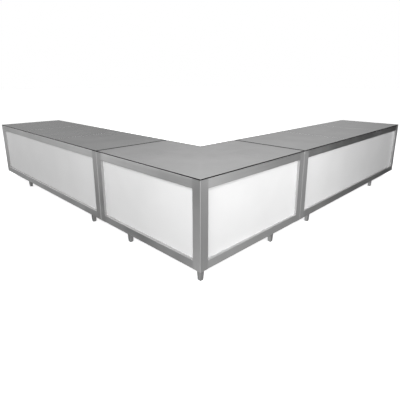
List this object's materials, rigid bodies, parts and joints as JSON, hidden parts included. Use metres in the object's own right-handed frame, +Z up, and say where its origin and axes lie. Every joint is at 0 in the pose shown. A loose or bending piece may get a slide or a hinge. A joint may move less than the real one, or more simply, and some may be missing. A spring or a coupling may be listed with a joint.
{
  "type": "buffet counter",
  "caption": "L-shaped buffet counter: steel frames with recessed white panels, grey glass worktops, open storage behind, bolted units and screw feet.",
  "frame": {"origin": "centre of the row's square plan, on the floor", "axes": "+Z up; the outer corner of the L is at -X -Y, the right arm runs along +X and the left arm along +Y"},
  "size_m": [4.5, 4.5, 0.85],
  "materials": {
    "post_steel": "brushed along the post",
    "rail_steel": "brushed along the rail",
    "bar_steel": "mill finish",
    "foot_steel": "satin",
    "zinc_steel": "zinc plated",
    "white_acrylic": "satin, opal white",
    "bead_alloy": "natural anodised",
    "grey_glass": "back-painted grey, polished edges",
    "grey_laminate": "light grey melamine faced board",
    "black_rubber": "matt"
  },
  "bodies": {
    "counter": {"corner_posts": "post_steel", "corner_front_rails": "rail_steel", "corner_rear_rails": "rail_steel", "corner_end_rails": "rail_steel", "corner_cross_bars": "bar_steel", "corner_uprights": "bar_steel", "corner_panel_right": "white_acrylic", "corner_panel_left": "white_acrylic", "corner_panel_beads": "bead_alloy", "corner_bearers": "bar_steel", "corner_deck_boards": "grey_laminate", "corner_shelf_boards": "grey_laminate", "corner_worktop": "grey_glass", "right_posts": "post_steel", "right_long_rails": "rail_steel", "right_end_rails": "rail_steel", "right_cross_bars": "bar_steel", "right_uprights": "bar_steel", "right_front_panel": "white_acrylic", "right_end_panel": "white_acrylic", "right_panel_beads": "bead_alloy", "right_shelf_bearers": "bar_steel", "right_deck_boards": "grey_laminate", "right_shelf_boards": "grey_laminate", "right_worktop": "grey_glass", "left_posts": "post_steel", "left_long_rails": "rail_steel", "left_end_rails": "rail_steel", "left_cross_bars": "bar_steel", "left_uprights": "bar_steel", "left_front_panel": "white_acrylic", "left_end_panel": "white_acrylic", "left_panel_beads": "bead_alloy", "left_shelf_bearers": "bar_steel", "left_deck_boards": "grey_laminate", "left_shelf_boards": "grey_laminate", "left_worktop": "grey_glass", "post_caps": "bar_steel", "foot_bushes": "zinc_steel", "worktop_tapes": "black_rubber", "joint_seals": "black_rubber", "joining_bolts": "zinc_steel", "joining_nuts": "zinc_steel"},
    "corner_foot_outer_body": {"corner_foot_outer": "foot_steel"},
    "corner_foot_right_front_body": {"corner_foot_right_front": "foot_steel"},
    "corner_foot_right_rear_body": {"corner_foot_right_rear": "foot_steel"},
    "corner_foot_left_front_body": {"corner_foot_left_front": "foot_steel"},
    "corner_foot_left_rear_body": {"corner_foot_left_rear": "foot_steel"},
    "right_foot_near_front_body": {"right_foot_near_front": "foot_steel"},
    "right_foot_near_rear_body": {"right_foot_near_rear": "foot_steel"},
    "right_foot_far_front_body": {"right_foot_far_front": "foot_steel"},
    "right_foot_far_rear_body": {"right_foot_far_rear": "foot_steel"},
    "left_foot_near_front_body": {"left_foot_near_front": "foot_steel"},
    "left_foot_near_rear_body": {"left_foot_near_rear": "foot_steel"},
    "left_foot_far_front_body": {"left_foot_far_front": "foot_steel"},
    "left_foot_far_rear_body": {"left_foot_far_rear": "foot_steel"}
  },
  "joints": [
    {"name": "corner_foot_outer_screw", "type": "slide", "parent": "counter", "child": "corner_foot_outer_body", "axis": [0, 0, -1], "range_m": [0, 0.02]},
    {"name": "corner_foot_right_front_screw", "type": "slide", "parent": "counter", "child": "corner_foot_right_front_body", "axis": [0, 0, -1], "range_m": [0, 0.02]},
    {"name": "corner_foot_right_rear_screw", "type": "slide", "parent": "counter", "child": "corner_foot_right_rear_body", "axis": [0, 0, -1], "range_m": [0, 0.02]},
    {"name": "corner_foot_left_front_screw", "type": "slide", "parent": "counter", "child": "corner_foot_left_front_body", "axis": [0, 0, -1], "range_m": [0, 0.02]},
    {"name": "corner_foot_left_rear_screw", "type": "slide", "parent": "counter", "child": "corner_foot_left_rear_body", "axis": [0, 0, -1], "range_m": [0, 0.02]},
    {"name": "right_foot_near_front_screw", "type": "slide", "parent": "counter", "child": "right_foot_near_front_body", "axis": [0, 0, -1], "range_m": [0, 0.02]},
    {"name": "right_foot_near_rear_screw", "type": "slide", "parent": "counter", "child": "right_foot_near_rear_body", "axis": [0, 0, -1], "range_m": [0, 0.02]},
    {"name": "right_foot_far_front_screw", "type": "slide", "parent": "counter", "child": "right_foot_far_front_body", "axis": [0, 0, -1], "range_m": [0, 0.02]},
    {"name": "right_foot_far_rear_screw", "type": "slide", "parent": "counter", "child": "right_foot_far_rear_body", "axis": [0, 0, -1], "range_m": [0, 0.02]},
    {"name": "left_foot_near_front_screw", "type": "slide", "parent": "counter", "child": "left_foot_near_front_body", "axis": [0, 0, -1], "range_m": [0, 0.02]},
    {"name": "left_foot_near_rear_screw", "type": "slide", "parent": "counter", "child": "left_foot_near_rear_body", "axis": [0, 0, -1], "range_m": [0, 0.02]},
    {"name": "left_foot_far_front_screw", "type": "slide", "parent": "counter", "child": "left_foot_far_front_body", "axis": [0, 0, -1], "range_m": [0, 0.02]},
    {"name": "left_foot_far_rear_screw", "type": "slide", "parent": "counter", "child": "left_foot_far_rear_body", "axis": [0, 0, -1], "range_m": [0, 0.02]}
  ]
}
